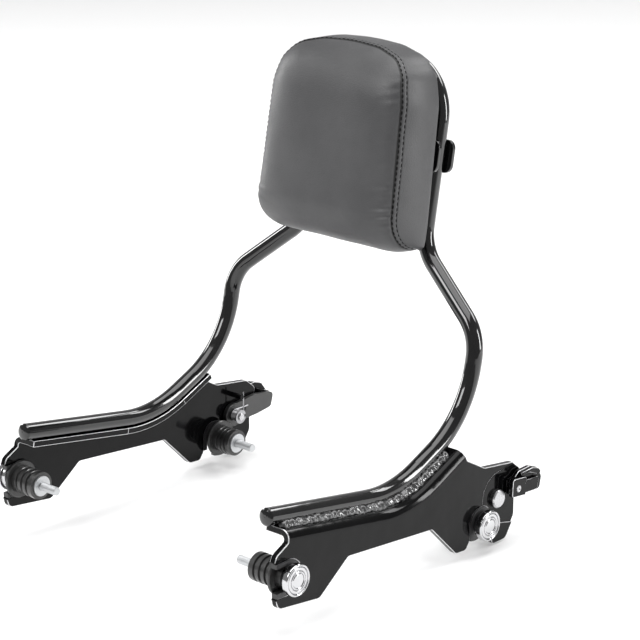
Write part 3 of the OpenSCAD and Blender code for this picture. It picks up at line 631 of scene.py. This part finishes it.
# %% Gusset, rim and back
def gusset(g):
    """Points on the strip, g from 0 at the seam to 1 at the rear edge.

    A straight line from seam to rear edge, plus a bulge of sin(pi g)^0.8, plus the seam's relief: a
    groove at the join, the rolled allowance behind it and the valley that the second row pulls in."""
    full = np.clip(seam_back / SEAM_DEPTH, 0, 1)[None, :]
    run = g * seam_back[None, :]
    swell = BULGE_TOP + (BULGE_SIDE - BULGE_TOP) * np.abs(edge_normal[:, 0])[None, :] ** 2
    bulge = swell * np.sin(np.pi * np.clip(g, 0, 1)) ** 0.8 * full
    strip = ROLL * np.exp(-(((run - 2.9) / 1.6) ** 4)) - GROOVE * np.exp(-((run / 0.7) ** 2)) * (run > 0.01)
    strip = strip - VALLEY * np.exp(-(((run - GUSSET_ROW) / 0.7) ** 2))
    along = np.cumsum(np.ones_like(run), axis=1) * SPACING
    strip = (strip + 0.3 * soft_field(run, along, 60.0, 9)) * np.clip(full * 3, 0, 1)
    out = (bulge + strip * np.clip(g * 40, 0, 1))[..., None]
    flat = np.concatenate([edge_normal, np.zeros((len(edge_normal), 1))], axis=1)[None]
    return seam[None] * (1 - g[..., None]) + rear_edge[None] * g[..., None] + out * flat


def rim_and_back(edge, normal):
    """Rows behind the gusset: a quarter round at the rear edge, in under the board's rim, then flat."""
    turn = np.linspace(0, np.pi / 2, 6)[1:]
    radius = 2.2
    rows = [(-radius * (1 - math.cos(a)), -radius * math.sin(a)) for a in turn]
    rows += [(-2.6, -radius * 0.6), (-2.8, 2.0), (-3.6, 4.0)]
    flat = np.concatenate([normal, np.zeros((len(normal), 1))], axis=1)
    points = [edge + flat * inward + np.array([0.0, 0.0, depth]) for inward, depth in rows]
    last = points[-1]
    middle = np.array([0.0, 0.0, last[0, 2]])
    points += [middle + (last - middle) * s for s in (0.8, 0.5, 0.2, 0.001)]
    return np.stack(points)


rear_edge, edge_normal, seam_back = back_edge(seam)
rows = np.concatenate([np.arange(0, 7, 0.35), np.linspace(7, SEAM_DEPTH, 26)]) / SEAM_DEPTH
strips = gusset(np.broadcast_to(rows[:, None], (len(rows), len(seam))))
behind = rim_and_back(rear_edge, edge_normal)
cover = np.concatenate([panel[::-1], pad_place(*np.moveaxis(strips[1:], -1, 0)),
                        pad_place(*np.moveaxis(behind, -1, 0))])
run_back = rows[1:, None] * seam_back[None, :]
from_seam = np.concatenate([panel_inwards[::-1], run_back, np.full(behind.shape[:2], 99.0)])
print("pad cover:", cover.shape[0], "rings of", cover.shape[1])

# %% [markdown]
# ### Vinyl and thread
# Upholstery vinyl is a dark satin skin with a pressed grain: small cells with soft furrows between
# them. Next to the seam its colour is painted near black: painted shade where the skin folds down
# into the join. The cover carries the distance from the seam as an attribute, which the material reads.


# %% Vinyl
def build_grain():
    """Pressed grain: height of soft cells about a millimetre wide, and a mask of their furrows."""
    group, first, last = new_group("pressed_grain", {"Cells": 900.0}, ["Height", "Furrows"])
    cells = group.nodes.new("ShaderNodeTexVoronoi")
    cells.feature = "SMOOTH_F1"
    group.links.new(object_coordinates(group), cells.inputs["Vector"])
    group.links.new(first.outputs["Cells"], cells.inputs["Scale"])
    height = spread(group, cells.outputs["Distance"], 0.15, 0.75, 1.0, 0.0)
    group.links.new(height, last.inputs["Height"])
    group.links.new(spread(group, height, 0.0, 0.4, 1.0, 0.0), last.inputs["Furrows"])
    return group


GRAIN = build_grain()


def vinyl(name, colour, worn, rough):
    """Vinyl: colour drifts between two greys, with painted shade in the seam; furrows are duller; the grain
    is a bump.
    """
    material, tree, shader = start_material(name)
    place = object_coordinates(tree)
    grain = tree.nodes.new("ShaderNodeGroup")
    grain.node_tree = GRAIN
    drift = spread(tree, noise(tree, place, 16.0, 4.0, 0.6), 0.35, 0.7)
    mix = tree.nodes.new("ShaderNodeMix")
    mix.data_type = "RGBA"
    mix.inputs["A"].default_value = (*colour, 1)
    mix.inputs["B"].default_value = (*worn, 1)
    tree.links.new(drift, mix.inputs["Factor"])
    # painted shade: within about a millimetre of the seam the base colour is mixed to near black (0.002), a
    # dark line standing in for the shade in the join
    crease = tree.nodes.new("ShaderNodeAttribute")
    crease.attribute_name = "from_seam"
    shade = tree.nodes.new("ShaderNodeMix")
    shade.data_type = "RGBA"
    shade.inputs["A"].default_value = (0.002, 0.002, 0.002, 1)
    tree.links.new(spread(tree, crease.outputs["Fac"], 0.75, 1.35), shade.inputs["Factor"])
    tree.links.new(mix.outputs["Result"], shade.inputs["B"])
    tree.links.new(shade.outputs["Result"], shader.inputs["Base Color"])
    duller = arithmetic(tree, "MULTIPLY", grain.outputs["Furrows"], 0.12)
    smooth_patches = spread(tree, noise(tree, place, 30.0, 3.0), 0.3, 0.7, rough - 0.04, rough + 0.05)
    tree.links.new(arithmetic(tree, "ADD", smooth_patches, duller), shader.inputs["Roughness"])
    bump_into(tree, shader, grain.outputs["Height"], 0.00009, 0.8)
    return material


VINYL = vinyl("pad_vinyl", (0.042, 0.042, 0.044), (0.056, 0.056, 0.058), 0.44)
THREAD = painted("sewing_thread", (0.003, 0.003, 0.003), 0.7, 0.0, 0.5, 1.0, 0.0, 0.2)

# %% The cover
pad = make_piece("pad_cover", cover, grid_faces(*cover.shape[:2], closed_columns=True), "dock",
                 VINYL, outward=False)
distance = pad.data.attributes.new("from_seam", "FLOAT", "POINT")
distance.data.foreach_set("value", from_seam.ravel().astype(np.float32))
work = bmesh.new()
work.from_mesh(pad.data)
bmesh.ops.remove_doubles(work, verts=work.verts, dist=0.02 * MM)
bmesh.ops.recalc_face_normals(work, faces=work.faces)
work.to_mesh(pad.data)
work.free()
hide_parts("pad_cushion")
print("pad cover faces:", len(pad.data.polygons))

# %% [markdown]
# ### Thread
# Two rows of black thread run beside the seam: one almost on the join, one a few millimetres
# behind it. Each stitch is a short arched dash that dives into the skin at both ends. One dash is
# worked out once and set along both rows.


# %% Stitches
DASH_RINGS, DASH_SIDES = 7, 6
STITCH_PITCH, STITCH_LENGTH, THREAD_RADIUS = 5.0 * MM, 4.0 * MM, 0.55 * MM


def dash(centre, ahead, out, length, radius):
    """Curved dashes at many places: rings along each, thinning at both ends, arched outwards."""
    u = np.linspace(-1, 1, DASH_RINGS)
    a = np.linspace(0, 2 * np.pi, DASH_SIDES, endpoint=False)
    thick = radius * np.sqrt(np.clip(1 - u**4, 0.0004, 1))
    aside = np.cross(out, ahead)
    lift = thick[:, None] * np.cos(a) + radius * (1.1 * np.cos(np.pi * u / 2)[:, None] - 0.45)
    sway = thick[:, None] * np.sin(a)
    points = (centre[:, None, None] + ahead[:, None, None] * (u * length / 2)[None, :, None, None]
              + out[:, None, None] * lift[None, ..., None] + aside[:, None, None] * sway[None, ..., None])
    one = grid_faces(DASH_RINGS, DASH_SIDES, closed_columns=True)
    faces = one[None] + (np.arange(len(centre)) * DASH_RINGS * DASH_SIDES)[:, None, None]
    return points.reshape(-1, 3), faces.reshape(-1, 4)


def stitch_line(distance, pitch):
    """Places, directions and outward directions at every pitch, on a line some distance behind the seam."""
    start = int(np.argmin(seam_back))
    ring = np.roll(gusset((distance / np.maximum(seam_back, 1e-6))[None])[0], -start, axis=0)
    deep = np.roll(seam_back, -start) > 12.0
    ring, normal = ring[deep], np.roll(edge_normal, -start, axis=0)[deep]
    world = pad_place(*ring.T)
    out = normal[:, :1] * np.array([1.0, 0.0, 0.0]) + normal[:, 1:] * PAD_UP
    length = np.concatenate([[0], np.cumsum(np.linalg.norm(np.diff(world, axis=0), axis=1))])
    at = np.arange(pitch, length[-1] - pitch, pitch)

    def sample(values):
        """Values at the stitches, by straight lines between the seam's points."""
        return np.stack([np.interp(at, length, values[:, k]) for k in range(3)], -1)

    ahead = unit(sample(np.gradient(world, length, axis=0)))
    out = sample(out)
    out = unit(out - ahead * np.sum(out * ahead, axis=1, keepdims=True))
    return sample(world), ahead, out


for name, distance in (("stitches_seam", SEAM_ROW), ("stitches_gusset", GUSSET_ROW)):
    points, faces = dash(*stitch_line(distance, STITCH_PITCH), STITCH_LENGTH, THREAD_RADIUS)
    make_piece(name, points, faces, "dock", THREAD)
    print(name, len(points) // (DASH_RINGS * DASH_SIDES), "stitches")

# %% [markdown]
# ## Welds
# A hand-laid weld is a row of frozen ripples. Each ripple is an arc that trails behind the torch,
# and the bead's edge wanders a little. A row of separate blobs would show gaps, so the bead is one
# round profile carried along the tube's lower run, its radius swollen ripple by ripple.

# %% The line of the tube's lower run
RUN_START = np.array([5.0, 48.76])  # [y, z] in millimetres, on the tube's axis
SLOPE_FRONT, SLOPE_REAR = math.radians(-9.5), math.radians(24.2)
KNEE_RADIUS = 120.0
FRONT_LENGTH = 118.2  # straight length before the knee
RUN_LENGTH = 221.0
TUBE_X = 153.3


def lower_run(count):
    """Points [y, z] and slope along the run: straight, an even turn at the knee, straight again."""
    s = np.linspace(0, RUN_LENGTH, count)
    slope = np.clip(SLOPE_FRONT + (s - FRONT_LENGTH) / KNEE_RADIUS, SLOPE_FRONT, SLOPE_REAR)
    step = np.stack([np.cos(slope), np.sin(slope)], -1) * np.gradient(s)[:, None]
    points = RUN_START + np.concatenate([[[0, 0]], np.cumsum((step[1:] + step[:-1]) / 2, axis=0)])
    return s, points, slope


# %% The bead
BEAD_RADIUS = 3.4
BEAD_ACROSS, BEAD_UP = 7.0, -7.6  # from the tube's axis to the bead's, outwards and up
RIPPLE_PITCH = 6.6
CROWN_ANGLE = math.radians(42)  # the bead's crown looks outwards and up


def weld_bead(side, seed):
    """Bead surface: the radius is the bead's own, plus slow wander, lumps and ripples on the shown side.

    A ripple is a saw wave of (distance along + a lag that grows towards the crown) / pitch."""
    s, points, slope = lower_run(520)
    a = np.linspace(0, 2 * np.pi, 28, endpoint=False)
    s2, a2 = s[:, None], a[None, :]
    crown = np.cos(a2 - CROWN_ANGLE)
    wander = soft_field(s2, 0 * s2, 26.0, seed)
    lumps = soft_field(s2, 5.0 * a2, 8.0, seed + 5)
    ripple = ((s2 + 3.8 * crown + 3.0 * wander + 1.8 * lumps) / RIPPLE_PITCH) % 1.0
    shown = np.clip(0.5 + crown, 0, 1)
    rough = 1.2 + 0.7 * wander + 0.8 * lumps + 0.9 * ripple**0.7 * (1 - ripple**6)
    radius = BEAD_RADIUS + shown * rough
    ends = np.clip(np.minimum(s2, RUN_LENGTH - s2) / 4.0, 0.02, 1)
    radius = radius * np.sqrt(1 - (1 - ends) ** 2)
    across = BEAD_ACROSS + radius * np.cos(a2)
    up = BEAD_UP + radius * np.sin(a2)
    x = side * (TUBE_X + across)
    y = points[:, :1] - up * np.sin(slope)[:, None]
    z = points[:, 1:] + up * np.cos(slope)[:, None]
    return np.stack([x * MM + MIDDLE_X, y * MM, z * MM], -1)


for (side, label), seed in zip(SIDES, (21, 22)):
    points = weld_bead(side, seed)
    faces = rod_faces(*points.shape[:2])
    bead = make_piece("weld_bead_" + label, points, faces, "dock", BEAD, weld=0.01 * MM)
    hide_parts("weld_" + label)
    print(bead.name, "has", len(bead.data.polygons), "faces")


# %% [markdown]
# ## Ringed caps
# Each docking spool ends in a turned and polished cap. Turning leaves true rings, so the cap is a
# profile of radius and depth swung round the spool's axis, with narrow grooves that read as dark
# lines between polished bands.

# %% Caps
CAP_SIDES = 96
PLATE_FACE = 174.3  # from the middle plane to a plate's outer face
CAP_PROFILE = np.array([  # radius and distance from the plate's face, in millimetres
    (0.01, 0.6), (12.0, 0.6), (12.0, 4.6), (12.4, 5.0), (14.0, 5.2), (14.5, 5.7), (14.5, 9.9),
    (14.3, 10.6), (13.8, 11.1), (13.2, 11.3), (12.7, 11.1), (12.4, 10.5), (12.2, 9.6), (11.9, 9.6),
    (11.7, 10.4), (11.2, 10.7), (9.6, 11.0), (9.1, 10.8), (8.9, 9.9), (8.6, 9.9), (8.4, 10.8),
    (8.0, 11.2), (7.4, 11.2), (7.1, 10.9), (7.0, 10.1), (6.7, 10.1), (6.5, 10.9), (5.6, 11.2),
    (0.01, 11.5)])


def lathed_cap(side, y, z):
    """Cap surface: each profile point swung round the spool's axis; x runs outwards from the plate."""
    a = np.linspace(0, 2 * np.pi, CAP_SIDES, endpoint=False)
    radius, depth = CAP_PROFILE[:, :1], CAP_PROFILE[:, 1:]
    x = MIDDLE_X / MM + side * (PLATE_FACE + depth) + 0 * a
    return np.stack([x, y + radius * np.cos(a), z + radius * np.sin(a)], -1) * MM


for side, label in SIDES:
    for end, y, z in DOCKS:
        points = lathed_cap(side, y, z)
        faces = rod_faces(*points.shape[:2])
        cap = make_piece(f"cap_{end}_{label}", points, faces, "dock", CHROME)
        turned_edges = cap.modifiers.new("crisp_rings", "WEIGHTED_NORMAL")
        turned_edges.weight = 80
        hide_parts(f"{end}_cap_{label}")
print("cap rings:", len(CAP_PROFILE), "profile points, radius up to", CAP_PROFILE[:, 0].max(), "mm")

# %% [markdown]
# ## Threads on the docking bolts
# CAD draws a bolt as a smooth rod. The thread is one surface round it, a rod whose radius rises and
# falls with the distance along less the turn made so far, so its ridge winds like the real one.
# The ridge fades out at both ends, as a rolled thread does.

# %% Threads
THREAD_PITCH, THREAD_ROOT, THREAD_HEIGHT = 1.25, 3.6, 0.38
THREAD_START, THREAD_END = -0.3, 20.2  # from the washer's face, towards the middle
WASHER_FACE = 136.7  # from the middle plane


def thread_ridge(side, y, z):
    """Thread surface: radius = root + ridge, the ridge a triangle wave of (distance / pitch - turn)."""
    x = np.linspace(THREAD_START, THREAD_END, 206)[:, None]
    a = np.linspace(0, 2 * np.pi, 24, endpoint=False)[None, :]
    turn = (x / THREAD_PITCH - side * a / (2 * np.pi)) % 1.0
    ridge = 1 - np.abs(2 * turn - 1)
    ends = np.clip(np.minimum(x - THREAD_START, THREAD_END - x) / 1.2, 0, 1)
    radius = THREAD_ROOT + ends * THREAD_HEIGHT * ridge
    place = MIDDLE_X / MM + side * (WASHER_FACE - x)
    return np.stack([place + 0 * a, y + radius * np.cos(a), z + radius * np.sin(a)], -1) * MM


for side, label in SIDES:
    for end, y, z in DOCKS:
        points = thread_ridge(side, y, z)
        make_piece(f"thread_{end}_{label}", points, rod_faces(*points.shape[:2]), "dock", ZINC)
print("turns of thread on each bolt:", (THREAD_END - THREAD_START) / THREAD_PITCH)

# %% [markdown]
# ## Stage
# A pale floor and broad soft lights. Gloss black shows the lights themselves, so they are long
# panels: they draw the white bands that run along the tube. Two upright strips stand where the
# pad's sides mirror them, and the floor glows a little, so that its far end stays as pale.

# %% The floor
FLOOR_HEIGHT = cad_low[2] - 0.002
FLOOR_TURN = 0.74  # radians; the floor runs away from the camera
BACKDROP_START = 3.0  # metres behind the object


def build_floor():
    """A wide pale plane that runs on behind the object: height = 0.35 * (distance past the start)^2."""
    across = np.linspace(-6, 6, 3)
    along = np.linspace(-3, 7, 60)
    rise = np.where(along > BACKDROP_START, 0.35 * (along - BACKDROP_START) ** 2, 0.0)
    x, y = np.meshgrid(across, along, indexing="ij")
    z = np.broadcast_to(rise + FLOOR_HEIGHT, x.shape)
    c, s = np.cos(FLOOR_TURN), np.sin(FLOOR_TURN)
    turned = np.stack([x * c - y * s, x * s + y * c, z], -1)
    mesh = bpy.data.meshes.new("floor")
    mesh.from_pydata(turned.reshape(-1, 3).tolist(), [], grid_faces(*x.shape).tolist())
    mesh.polygons.foreach_set("use_smooth", [True] * len(mesh.polygons))
    material, tree, shader = start_material("pale_floor")
    shader.inputs["Base Color"].default_value = (0.82, 0.82, 0.82, 1)
    shader.inputs["Roughness"].default_value = 0.9
    shader.inputs["Emission Color"].default_value = (1, 1, 1, 1)
    shader.inputs["Emission Strength"].default_value = 0.12
    mesh.materials.append(material)
    floor = bpy.data.objects.new("floor", mesh)
    bpy.context.scene.collection.objects.link(floor)
    floor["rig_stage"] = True


build_floor()


# %% Lights and world
def soft_light(name, place, target, size, power):
    """A rectangular area light of size (wide, high) metres, aimed at target."""
    data = bpy.data.lights.new(name, "AREA")
    data.shape = "RECTANGLE"
    data.size, data.size_y = size
    data.energy = power
    light = bpy.data.objects.new(name, data)
    bpy.context.scene.collection.objects.link(light)
    aim(light, place, target)
    print("light", name, power, "W")


CENTRE = (MIDDLE_X, 0.2, 0.15)
soft_light("key", (-0.9, -2.6, 2.3), CENTRE, (1.6, 1.3), 58)
soft_light("overhead", (MIDDLE_X, 0.2, 2.4), CENTRE, (2.2, 2.6), 60)
soft_light("strip_left", (-2.8, -0.2, 0.9), CENTRE, (0.4, 1.8), 38)
soft_light("strip_right", (2.2, 1.5, 0.9), CENTRE, (0.45, 1.6), 40)
soft_light("rim", (0.4, 2.6, 2.2), CENTRE, (2.2, 0.6), 34)

world = bpy.data.worlds.new("studio")
world.use_nodes = True
world.node_tree.nodes["Background"].inputs["Color"].default_value = (1, 1, 1, 1)
world.node_tree.nodes["Background"].inputs["Strength"].default_value = 0.3
bpy.context.scene.world = world
bpy.context.scene.view_settings.view_transform = "Standard"
